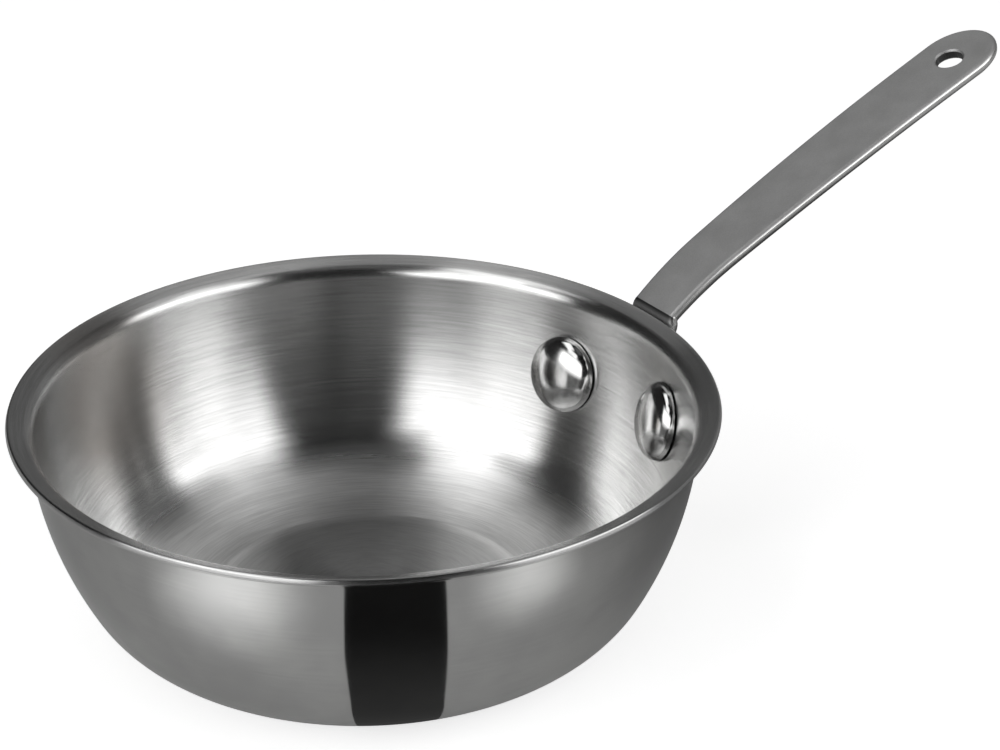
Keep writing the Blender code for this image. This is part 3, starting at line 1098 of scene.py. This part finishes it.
class Handle(Piece):
    """The strip handle: a blank with rounded edges, wrapped on the wall and bent round the lip."""

    def __init__(self, sizes: HandleSizes, bowl: BowlSizes, cutters: "RivetCutters") -> None:
        """Plans the handle.

        Args:
            sizes: The handle's sizes.
            bowl: The bowl that it follows.
            cutters: The rivet holes.
        """
        super().__init__("pan_handle", "handle", Slot.SATIN)
        self.sizes = sizes
        self.bowl = bowl
        self.cutters = cutters
        self.path = self._path()
        self.root = self.path.length() - sizes.strip_length

    def _path(self) -> Path:
        """Draws the inner face: up the wall, round the lip and out along the strip.

        Returns:
            The path, from the flange's lower edge to the strip's tip.
        """
        sizes, bowl = self.sizes, self.bowl.meridian()
        bottom, _, top = sizes.flange_marks(bowl, self.bowl.height)
        lower, upper = bowl.at(bottom)[1], bowl.at(top)[1]
        wall_radius = sizes.flange_height / math.radians(upper - lower) + sizes.seat_gap
        path = Path(bowl.beside(bottom, -sizes.seat_gap), lower).bend(wall_radius, upper - lower)
        shoulder = sizes.thickness + sizes.shoulder_bend
        lower_bend = sizes.thickness + sizes.neck_lower_bend
        neck_x = self.bowl.rim_radius + sizes.lip_gap
        neck_z = self.bowl.height + sizes.root_rise - shoulder * math.cos(math.radians(sizes.root_slope))
        first = path.beside(path.length(), -lower_bend)
        last = Vector((neck_x - sizes.neck_upper_bend, neck_z))
        between = last - first
        both = lower_bend + sizes.neck_upper_bend
        heading = math.degrees(math.atan2(between.y, between.x) - math.asin(both / between.length))
        path.bend(lower_bend, heading - upper).go(math.sqrt(between.length_squared - both * both))
        path.bend(sizes.neck_upper_bend, 90 - heading).bend(shoulder, sizes.root_slope - 90)
        path.go(sizes.crook_length, sizes.crook_slope - sizes.root_slope)
        middle = sizes.strip_length - sizes.crook_length - sizes.end_flat
        path.go(middle, sizes.end_slope - sizes.crook_slope)
        return path.go(sizes.end_flat)

    def _wing(self) -> list[tuple[float, float]]:
        """Draws one wing of the flange and the fillet above it.

        Returns:
            Points (distance, half width).
        """
        sizes = self.sizes
        corner = min(sizes.flange_corner, ROUND_LIMIT * sizes.flange_height)
        wing, neck = sizes.flange_width / 2 - corner, sizes.neck_width / 2
        fillet = min(sizes.neck_fillet, wing - neck - MERGE)
        turns = quarter_turn(sizes.corner_steps)
        lower = [(corner * (1 - math.cos(turn)), wing + corner * math.sin(turn)) for turn in turns]
        upper = [(sizes.flange_height - x, y) for x, y in reversed(lower)]
        hollow = [
            (sizes.flange_height + fillet * (1 - math.cos(turn)), neck + fillet * (1 - math.sin(turn)))
            for turn in turns
        ]
        return lower + upper + hollow

    def _outline(self) -> list[tuple[float, float]]:
        """Draws one side of the flat blank, from the flange's lower edge to the strip's tip.

        Returns:
            Points (distance, half width).
        """
        sizes = self.sizes
        wing = self._wing()
        start, neck = wing[-1]
        sides = []
        for mark in self.path.stations(sizes.fineness):
            if start + MERGE < mark < self.root - MERGE:
                share = (mark - start) / (self.root - start)
                sides.append((mark, neck + (sizes.root_width / 2 - neck) * share))
        round_start = sizes.strip_length - sizes.end_round
        marks = spaced(0.0, sizes.crook_length, sizes.strip_step)
        marks += spaced(sizes.crook_length, round_start, sizes.strip_step)
        strip = [(self.root + mark, sizes.half_width(mark / sizes.strip_length)) for mark in marks]
        widest = sizes.half_width(round_start / sizes.strip_length)
        end = [
            (self.root + round_start + sizes.end_round * math.sin(turn), widest * math.cos(turn))
            for turn in quarter_turn(sizes.end_steps)
        ]
        return wing + sides + strip + end

    def _blank(self) -> bmesh.types.BMesh:
        """Makes the flat blank, with its edges rounded.

        Returns:
            The shape, lying on the X-Y plane.
        """
        sizes = self.sizes
        side = self._outline()
        outline = side + [(x, -y) for x, y in side[-2::-1]]
        shape = bmesh.new()
        blank = shape.faces.new([shape.verts.new((x, y, 0)) for x, y in outline])
        grown = bmesh.ops.extrude_face_region(shape, geom=[blank])
        raised = [item for item in grown["geom"] if isinstance(item, bmesh.types.BMVert)]
        bmesh.ops.translate(shape, verts=raised, vec=(0, 0, sizes.thickness))
        bmesh.ops.recalc_face_normals(shape, faces=shape.faces)
        level = [e for e in shape.edges if abs(e.verts[0].co.z - e.verts[1].co.z) < MERGE]
        bmesh.ops.bevel(
            shape, geom=level, offset=sizes.edge_round, offset_type="OFFSET",
            segments=sizes.edge_steps, profile=0.5, affect="EDGES", material=-1,
        )
        return shape

    def _marks(self, shape: bmesh.types.BMesh) -> tuple[list[float], list[float]]:
        """Plans the cuts that let the flat blank bend.

        Args:
            shape: The flat blank.

        Returns:
            The distances of the cuts across it, and the widths of the cuts along it.
        """
        end = self.path.length() - self.sizes.end_flat
        face = max(shape.faces, key=lambda item: item.calc_area())
        step, cuts = self.sizes.wrap_step, self.sizes.wrap_cuts
        across, along = set(), {side * step for side in range(-cuts, cuts + 1)}
        for loop in face.loops:
            here = loop.vert.co
            if here.x > end:
                continue
            run = loop.link_loop_next.vert.co - loop.link_loop_prev.vert.co
            if abs(run.x) < abs(run.y):
                along.add(here.y)
            elif here.y > 0:
                across.add(here.x)
        return sorted(across), sorted(along)

    def _record(self, shape: bmesh.types.BMesh) -> None:
        """Writes each point's place on the flat blank into layers and a UV map.

        Args:
            shape: The flat blank.
        """
        sizes = self.sizes
        along = shape.verts.layers.float.new("along")
        across = shape.verts.layers.float.new("across")
        through = shape.verts.layers.float.new("depth")
        rounded = shape.verts.layers.float.new("rounded")
        for vert in shape.verts:
            vert[along], vert[across], vert[through] = vert.co.x, vert.co.y, vert.co.z / sizes.thickness
            depth = min(vert.co.z, sizes.thickness - vert.co.z)
            vert[rounded] = min(depth / sizes.edge_round, 1.0)
        layer = shape.loops.layers.uv.new("UVMap")
        for face in shape.faces:
            for loop in face.loops:
                loop[layer].uv = loop.vert.co.xy * UV_SCALE

    def _formed(self, flat: Vector) -> Vector:
        """Bends a point of the flat blank to its place on the finished handle.

        Args:
            flat: The point on the flat blank.

        Returns:
            The point on the handle.
        """
        point, heading = self.path.at(flat.x)
        angle = math.radians(heading)
        x = point.x + flat.z * math.sin(angle)
        z = point.y - flat.z * math.cos(angle)
        share = min(max((self.root - flat.x) / (self.root - self.sizes.flange_height), 0.0), 1.0)
        if share == 0.0:
            return Vector((x, flat.y, z))
        radius = x / (share * share * (3 - 2 * share))
        turn = flat.y / radius
        return Vector((x - radius * (1 - math.cos(turn)), radius * math.sin(turn), z))

    def _neck_shade_line(self) -> tuple[Vector, Vector]:
        """Finds the line below which the top face gets painted shade, where it bends into the neck.

        Returns:
            A point on that line, and the direction in which the handle goes on.
        """
        point, heading = self.path.at(self.root - self.sizes.root_line)
        angle = math.radians(heading)
        return Vector((point.x, 0, point.y)), Vector((math.cos(angle), 0, math.sin(angle)))

    def _hole_place(self) -> Matrix:
        """Finds the hang hole.

        Returns:
            The matrix that puts the hole's middle at its origin and its axis along +Z.
        """
        mark = self.path.length() - self.sizes.hole_from_end
        middle = self.path.beside(mark, -self.sizes.thickness / 2)
        turn = Matrix.Rotation(math.radians(-self.path.at(mark)[1]), 4, "Y")
        return Matrix.Translation((middle.x, 0, middle.y)) @ turn

    def _hang_hole(self) -> bpy.types.Object:
        """Makes the hang hole's cutter, which widens past both faces.

        Returns:
            The cutter.
        """
        sizes = self.sizes
        radius, chamfer, half = sizes.hole_diameter / 2, sizes.hole_chamfer, sizes.thickness / 2
        upper = [(radius, half - chamfer), (radius + 2 * chamfer, half + chamfer), (0, half + chamfer)]
        profile = [(x, -z) for x, z in reversed(upper)] + upper
        return loose_object("hang_hole", spun(profile, sizes.hole_steps, "turned"), self._hole_place())

    def shape(self) -> bmesh.types.BMesh:
        """Makes the handle with its holes.

        Returns:
            The shape.
        """
        shape = self._blank()
        across, along = self._marks(shape)
        for mark in across:
            level = [face for face in shape.faces if abs(face.normal.z) > LEVEL]
            self._cut(shape, level, (mark, 0, 0), (1, 0, 0))
        for width in along:
            wrapped = []
            for face in shape.faces:
                end = self.root if abs(face.normal.z) > LEVEL else self.sizes.edge_round
                if face.calc_center_median().x < end:
                    wrapped.append(face)
            self._cut(shape, wrapped, (0, width, 0), (0, 1, 0))
        self._record(shape)
        for vert in shape.verts:
            vert.co = self._formed(vert.co)
        blank = loose_object(self.name, shape)
        return less(blank, [self._hang_hole(), *self.cutters.holes()])

    @staticmethod
    def _cut(
        shape: bmesh.types.BMesh,
        faces: list[bmesh.types.BMFace],
        point: tuple[float, float, float],
        normal: tuple[float, float, float],
    ) -> None:
        """Cuts faces along a plane, and keeps both sides.

        Args:
            shape: The shape that they belong to.
            faces: The faces.
            point: A point on the plane.
            normal: The plane's normal.
        """
        edges = {edge for face in faces for edge in face.edges}
        verts = {vert for face in faces for vert in face.verts}
        geom = [*verts, *edges, *faces]
        bmesh.ops.bisect_plane(shape, geom=geom, dist=MERGE, plane_co=point, plane_no=normal)

    def build(self) -> None:
        """Makes the object, with normals that keep its flat faces flat."""
        super().build()
        modifier = self.object.modifiers.new("flat_faces", "WEIGHTED_NORMAL")
        modifier.keep_sharp = True
        modifier.weight = self.sizes.flat_weight

    def finishes(self) -> list[bpy.types.Material]:
        """Makes the strip's finish.

        Returns:
            Its material.
        """
        place = self._hole_place()
        # The neck, lower edge and bore shades are painted shade.
        satin = StripSteel(
            name="satin_strip", dark=(0.48, 0.48, 0.478), light=(0.59, 0.59, 0.588),
            edge=(0.68, 0.68, 0.67), face_roughness=0.56, edge_roughness=0.27, grain_depth=0.000004,
            lower_edge_painted_shade=0.45, root=self._neck_shade_line(), neck_painted_shade=0.9,
            bore=(place.translation, place.col[2].xyz), bore_radius=self.sizes.hole_diameter / 2,
            bore_painted_shade=0.75,
        )
        return [satin.material()]


# Rivets


@dataclass(frozen=True)
class RivetSizes:
    """The rivets' sizes."""

    from_wing_end: float = 0.0064
    stagger: float = 0.00125
    shank_diameter: float = 0.006
    head_diameter: float = 0.015
    head_rise: float = 0.0033
    tail_diameter: float = 0.0108
    tail_rise: float = 0.0019
    squareness: float = 2.3
    head_gap: float = 0.00045
    steps: int = 96
    hole_steps: int = 48
    head_steps: int = 30
    tail_steps: int = 16

    def dome(self, diameter: float, seat: float, rise: float, count: int) -> list[tuple[float, float]]:
        """Returns a dome's half section, rising from its seat.

        Args:
            diameter: The dome's width at its seat.
            seat: The seat's height.
            rise: How far the top is above the seat.
            count: The number of facets from edge to top.

        Returns:
            Points (radius, height) from the edge to the axis.
        """
        power = 2 / self.squareness
        points = [
            (diameter / 2 * math.cos(turn) ** power, seat + rise * math.sin(turn) ** power)
            for turn in quarter_turn(count)[:-1]
        ]
        return points + [(0.0, seat + rise)]


class RivetCutters:
    """Where the rivets go, and the holes that they need."""

    def __init__(self, bowl: BowlSizes, handle: HandleSizes, rivet: RivetSizes) -> None:
        """Takes the sizes of the pieces that the rivets join.

        Args:
            bowl: The bowl's sizes.
            handle: The handle's sizes.
            rivet: The rivets' sizes.
        """
        self.bowl = bowl
        self.handle = handle
        self.rivet = rivet
        self.path = bowl.meridian()
        self.middle = handle.flange_marks(self.path, bowl.height)[1]

    def place(self, side: Side) -> Matrix:
        """Finds a rivet's place on the wall.

        Args:
            side: The rivet's side.

        Returns:
            The matrix that puts its origin on the wall's outer face, with +Z pointing out.
        """
        point, heading = self.path.at(self.middle - side.value * self.rivet.stagger)
        azimuth = side.value * (self.handle.flange_width / 2 - self.rivet.from_wing_end) / point.x
        return (
            Matrix.Rotation(azimuth, 4, "Z")
            @ Matrix.Translation((point.x, 0, point.y))
            @ Matrix.Rotation(math.radians(180 - heading), 4, "Y")
        )

    def holes(self) -> list[bpy.types.Object]:
        """Makes cutters for both rivet holes through wall and flange.

        Returns:
            The new cutters.
        """
        gap = self.handle.seat_gap
        radius = self.rivet.shank_diameter / 2 + gap
        inside = -(self.bowl.sheet + self.rivet.head_gap + gap)
        outside = gap + self.handle.thickness + gap
        profile = [(0, inside), (radius, inside), (radius, outside), (0, outside)]
        steps = self.rivet.hole_steps
        return [
            loose_object(f"rivet_hole_{side.name}", spun(profile, steps, "turned"), self.place(side))
            for side in Side
        ]

    def seat(self) -> bpy.types.Object:
        """Makes a cutter of the wall and the gap that a rivet's head keeps to it.

        Returns:
            The new cutter, with the rivet holes left open.
        """
        reach = self.rivet.head_diameter / 2 + self.rivet.stagger + self.bowl.sheet
        low, high = self.middle - reach, self.middle + reach
        marks = [low] + [m for m in self.path.stations(self.bowl.fineness) if low < m < high] + [high]
        face = [self.path.beside(mark, self.bowl.sheet + self.handle.seat_gap) for mark in marks]
        back = [self.path.at(mark)[0] for mark in marks]
        profile = [(point.x, point.y) for point in [*face, *reversed(back), face[0]]]
        ring = loose_object("ring", spun(profile, self.bowl.steps, "turned"))
        return loose_object("head_seat", less(ring, self.holes()))


class Rivet(Piece):
    """A rivet: domed head inside the bowl, shank, and low tail outside."""

    def __init__(self, side: Side, cutters: RivetCutters) -> None:
        """Plans a rivet.

        Args:
            side: Its side.
            cutters: The places that it shares with its hole.
        """
        name = side.name.lower()
        super().__init__(f"pan_rivet_{name}", f"rivet_{name}", Slot.POLISHED)
        self.side = side
        self.cutters = cutters

    def shape(self) -> bmesh.types.BMesh:
        """Makes the rivet, its head trimmed to the curve of the wall.

        Returns:
            The shape.
        """
        rivet, gap = self.cutters.rivet, self.cutters.handle.seat_gap
        under_head = -(self.cutters.bowl.sheet + rivet.head_gap)
        under_tail = gap + self.cutters.handle.thickness + gap
        radius = rivet.shank_diameter / 2
        head = rivet.dome(rivet.head_diameter, under_head, -rivet.head_rise, rivet.head_steps)
        tail = rivet.dome(rivet.tail_diameter, under_tail, rivet.tail_rise, rivet.tail_steps)
        profile = [*reversed(head), (radius, under_head), (radius, under_tail), *tail]
        blank = loose_object(self.name, spun(profile, rivet.steps), self.cutters.place(self.side))
        place = blank.matrix_world.copy()
        shape = less(blank, [self.cutters.seat()])
        bmesh.ops.transform(shape, matrix=place, verts=shape.verts)
        return shape

    def finishes(self) -> list[bpy.types.Material]:
        """Makes the rivet's finish.

        Returns:
            Its material.
        """
        bright = RivetSteel(
            name=f"bright_{self.side.name.lower()}", dark=(0.58, 0.58, 0.575), light=(0.68, 0.68, 0.675),
            roughness=0.14, dent_depth=0.00003,
        )
        return [bright.material()]


# Studio


@dataclass(frozen=True)
class Softbox:
    """A square softbox aimed at the pan. Its cloth is brightest in its middle."""

    name: str
    azimuth: float
    elevation: float
    width: float
    height: float
    radiance: float
    core_up: float
    edge: float = 0.15
    distance: float = 1.1
    core_across: float = 0.7


@dataclass(frozen=True)
class Pool:
    """A soft pool of light or shade on the floor, as reflections see it."""

    azimuth: float
    distance: float
    reach: float
    radiance: float = 0.0
    shade: float = 0.0


# Softboxes by name, azimuth, elevation, width, height, radiance and bright share of the height.
SOFTBOXES = (
    Softbox("key_left", -168.5, 26.0, 1.27, 0.76, 2.75, 0.25, distance=1.0),
    Softbox("key_right", -54.3, 26.0, 1.04, 0.76, 2.35, 0.25, distance=1.0),
    Softbox("high_left", -174.0, 53.0, 0.55, 0.34, 1.6, 0.6, edge=0.3, distance=1.05),
    Softbox("high_right", -50.0, 53.0, 0.55, 0.34, 1.3, 0.6, edge=0.3, distance=1.05),
    Softbox("top_left", 137.0, 66.0, 0.7, 0.45, 1.6, 0.7, edge=0.5),
    Softbox("top_right", 10.0, 64.0, 0.6, 0.5, 0.6, 0.7, edge=0.5),
    Softbox("top_back", 62.0, 56.0, 0.42, 0.85, 0.42, 0.8, edge=0.5),
    Softbox("top_middle", -100.0, 80.0, 0.5, 0.5, 0.12, 0.7, edge=0.5),
)

# Pools by azimuth, distance and reach.
POOLS = (
    Pool(-156.0, 0.105, 0.045, radiance=1.2),
    Pool(-82.0, 0.105, 0.035, radiance=0.8),
    Pool(-129.0, 0.1, 0.14, radiance=0.12),
    Pool(-20.0, 0.16, 0.15, shade=0.9),
)


@dataclass(frozen=True)
class StudioSizes:
    """The camera's place and the studio's light. Azimuths count from +X towards +Y."""

    camera: tuple[float, float, float] = (-0.205404, -0.344568, 0.246118)
    aim: tuple[float, float, float] = (0.024739, -0.006307, 0.0422)
    roll: float = 0.0493
    lens: float = 90.574
    sensor: float = 36.0
    clip_start: float = 0.01
    floor_size: float = 2.6
    floor_white: float = 0.65
    floor_lift: float = 0.72
    floor_roughness: float = 0.9
    floor_specular: float = 0.1
    light_centre: tuple[float, float, float] = (0.0, 0.0, 0.04)
    surround_radius: float = 1.7
    surround_segments: int = 48
    surround_azimuth: float = 9.0
    surround_side: tuple[float, float] = (-0.1, 0.95)
    surround_glow: float = 0.17
    surround_dark: float = 0.02
    surround_brim: tuple[float, float] = (32.0, 55.0)
    surround_top: float = 0.15
    card_height: float = 0.0003
    card_fade: tuple[float, float] = (0.036, 0.085)
    card_glow: tuple[float, float] = (0.065, 0.012)
    card_corners: tuple[tuple[float, float], ...] = (
        (-0.2380, -0.3230), (-0.0607, -0.0803), (-0.0426, -0.0567), (-0.0325, -0.0452), (-0.0207, -0.0310),
        (-0.0105, -0.0340), (-0.0142, -0.0516), (-0.0165, -0.0662), (-0.0203, -0.0868), (-0.0228, -0.1010),
        (-0.0750, -0.3960),
    )


def direction(azimuth: float, elevation: float = 0.0) -> Vector:
    """Returns the direction that these angles point in, with a length of 1."""
    around, up = math.radians(azimuth), math.radians(elevation)
    return Vector((math.cos(up) * math.cos(around), math.cos(up) * math.sin(around), math.sin(up)))


class Studio:
    """The floor, the light and the camera."""

    def __init__(self, sizes: StudioSizes, boxes: Sequence[Softbox], pools: Sequence[Pool]) -> None:
        """Plans the studio.

        Args:
            sizes: Its sizes.
            boxes: Its lights.
            pools: The pools of light and shade on its floor.
        """
        self.sizes = sizes
        self.boxes = boxes
        self.pools = pools

    def build(self) -> None:
        """Makes the whole studio."""
        bpy.context.scene.view_settings.view_transform = "Standard"
        self._camera()
        self._world()
        self._floor()
        self._surround()
        self._card()
        for box in self.boxes:
            self._softbox(box)

    def _camera(self) -> None:
        """Puts the camera at the photograph's viewpoint."""
        sizes = self.sizes
        data = bpy.data.cameras.new("camera")
        data.lens = sizes.lens
        data.sensor_width = sizes.sensor
        data.clip_start = sizes.clip_start
        ahead = Vector(sizes.aim) - Vector(sizes.camera)
        turn = ahead.to_track_quat("-Z", "Y").to_matrix().to_4x4()
        roll = Matrix.Rotation(math.radians(sizes.roll), 4, "Z")
        bpy.context.scene.camera = placed("camera", data, Matrix.Translation(sizes.camera) @ turn @ roll)

    @staticmethod
    def _rays(graph: Graph) -> tuple[Sock, Sock, Sock]:
        """Reads what kind of ray meets a surface.

        Args:
            graph: The surface's graph.

        Returns:
            Whether it comes from the camera, from a glossy or from a clear surface.
        """
        camera = graph.node("ShaderNodeLightPath", output="Is Camera Ray")
        outputs = camera.output.node.outputs
        glossy, clear = outputs["Is Glossy Ray"], outputs["Is Transmission Ray"]
        return camera, Sock(graph, glossy), Sock(graph, clear)

    def _world(self) -> None:
        """Makes a backdrop that is white where it is seen, and a dim room beyond it."""
        world = bpy.data.worlds.new("backdrop")
        bpy.context.scene.world = world
        world.use_nodes = True
        graph = Graph(world.node_tree)
        backdrop = world.node_tree.nodes["Background"]
        backdrop.inputs["Color"].default_value = (1.0, 1.0, 1.0, 1.0)
        camera, glossy, clear = self._rays(graph)
        seen = camera.larger(glossy).larger(clear)
        dim = self.sizes.surround_dark
        graph.feed(backdrop.inputs["Strength"], seen * (1.0 - dim) + dim)

    @staticmethod
    def _staged(name: str, shape: bmesh.types.BMesh, material: bpy.types.Material) -> bpy.types.Object:
        """Makes a studio object.

        Args:
            name: Its name.
            shape: Its shape.
            material: Its material.

        Returns:
            The object.
        """
        piece = loose_object(name, shape)
        material.cycles.emission_sampling = "NONE"
        piece.data.materials.append(material)
        return piece

    def _floor(self) -> None:
        """Lays a plain pale floor that keeps the pan's shadow, and can be looked through from below."""
        sizes = self.sizes
        shape = bmesh.new()
        bmesh.ops.create_grid(shape, x_segments=1, y_segments=1, size=sizes.floor_size / 2)
        constants = {"Roughness": sizes.floor_roughness, "Specular IOR Level": sizes.floor_specular}
        graph = MaterialGraph("pale_floor", {**constants, "Emission Strength": 1.0})
        camera, glossy, clear = self._rays(graph)
        light = camera.larger(clear) * sizes.floor_lift
        white: Sock | float = sizes.floor_white
        place = graph.place()
        for pool in self.pools:
            away = graph.points("DISTANCE", place, pool.distance * direction(pool.azimuth))
            if pool.shade:
                white = white * (1.0 - glossy * away.step(0.0, pool.reach, pool.shade, 0.0))
            else:
                light = light + glossy * away.step(0.0, pool.reach, pool.radiance, 0.0)
        graph.set({"Base Color": graph.grey(white), "Emission Color": graph.grey(light)})
        below = graph.node("ShaderNodeNewGeometry", output="Backfacing")
        through = graph.node("ShaderNodeBsdfTransparent")
        sides = {0: below, 1: Sock(graph, graph.shader.outputs[0]), 2: through}
        self._staged("floor", shape, graph.surface(graph.node("ShaderNodeMixShader", inputs=sides)))

    def _surround(self) -> None:
        """Hangs dim cloth all round, least dim behind the handle, which only reflections see."""
        sizes = self.sizes
        shape = bmesh.new()
        radius, segments = sizes.surround_radius, sizes.surround_segments
        bmesh.ops.create_uvsphere(shape, u_segments=segments, v_segments=segments // 2, radius=radius)
        graph = MaterialGraph("dim_cloth", {})
        place = graph.place()
        start, end = (radius * share for share in sizes.surround_side)
        brim, top = (radius * math.sin(math.radians(edge)) for edge in sizes.surround_brim)
        side = graph.points("DOT_PRODUCT", place, direction(sizes.surround_azimuth))
        around = side.step(start, end, sizes.surround_dark, sizes.surround_glow)
        glow = around * graph.axes(place)[2].step(brim, top, 1.0, sizes.surround_top)
        cloth = graph.node("ShaderNodeEmission", inputs={"Color": graph.grey(glow)})
        surround = self._staged("surround", shape, graph.surface(cloth))
        surround.visible_camera = False

    def _card(self) -> None:
        """Lays a black card in front of the pan, which only reflections see."""
        sizes = self.sizes
        shape = bmesh.new()
        shape.faces.new([shape.verts.new((x, y, sizes.card_height)) for x, y in sizes.card_corners])
        graph = MaterialGraph("black_card", {})
        glow = graph.points("LENGTH", graph.place()).step(*sizes.card_fade, *sizes.card_glow)
        cloth = graph.node("ShaderNodeEmission", inputs={"Color": graph.grey(glow)})
        card = self._staged("black_card", shape, graph.surface(cloth))
        card.visible_camera = card.visible_diffuse = card.visible_shadow = False
        card.visible_transmission = False

    def _softbox(self, box: Softbox) -> None:
        """Hangs one softbox.

        Args:
            box: Its place, size and light.
        """
        data = bpy.data.lights.new(box.name, "AREA")
        data.shape = "RECTANGLE"
        data.size = box.width
        data.size_y = box.height
        data.energy = box.radiance * math.pi * box.width * box.height
        data.use_nodes = True
        graph = Graph(data.node_tree)
        across, up, _ = graph.axes(graph.node("ShaderNodeNewGeometry", output="Parametric"))
        fall_across = abs(across - 0.5).step(box.core_across / 2, 0.5, 1.0, 0.0)
        fall_up = abs(up - 0.5).step(box.core_up / 2, 0.5, 1.0, 0.0)
        glow = fall_across * fall_up * (1.0 - box.edge) + box.edge
        graph.feed(data.node_tree.nodes["Emission"].inputs["Strength"], glow)
        ahead = direction(box.azimuth, box.elevation)
        turn = ahead.to_track_quat("Z", "Y").to_matrix().to_4x4()
        spot = Vector(self.sizes.light_centre) + ahead * box.distance
        placed(box.name, data, Matrix.Translation(spot) @ turn)


def main() -> None:
    """Builds the pan and the studio."""
    logging.basicConfig(level=logging.INFO, format="%(name)s: %(message)s")
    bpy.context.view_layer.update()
    _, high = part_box("bowl")
    bowl_sizes = BowlSizes(rim_radius=high.x, height=high.z)
    handle_sizes = HandleSizes()
    cutters = RivetCutters(bowl_sizes, handle_sizes, RivetSizes())
    pieces: list[Piece] = [
        Bowl(bowl_sizes, cutters),
        Handle(handle_sizes, bowl_sizes, cutters),
        Rivet(Side.LEFT, cutters),
        Rivet(Side.RIGHT, cutters),
    ]
    for piece in pieces:
        piece.build()
        piece.dress()
    Studio(StudioSizes(), SOFTBOXES, POOLS).build()


if __name__ == "__main__":
    main()
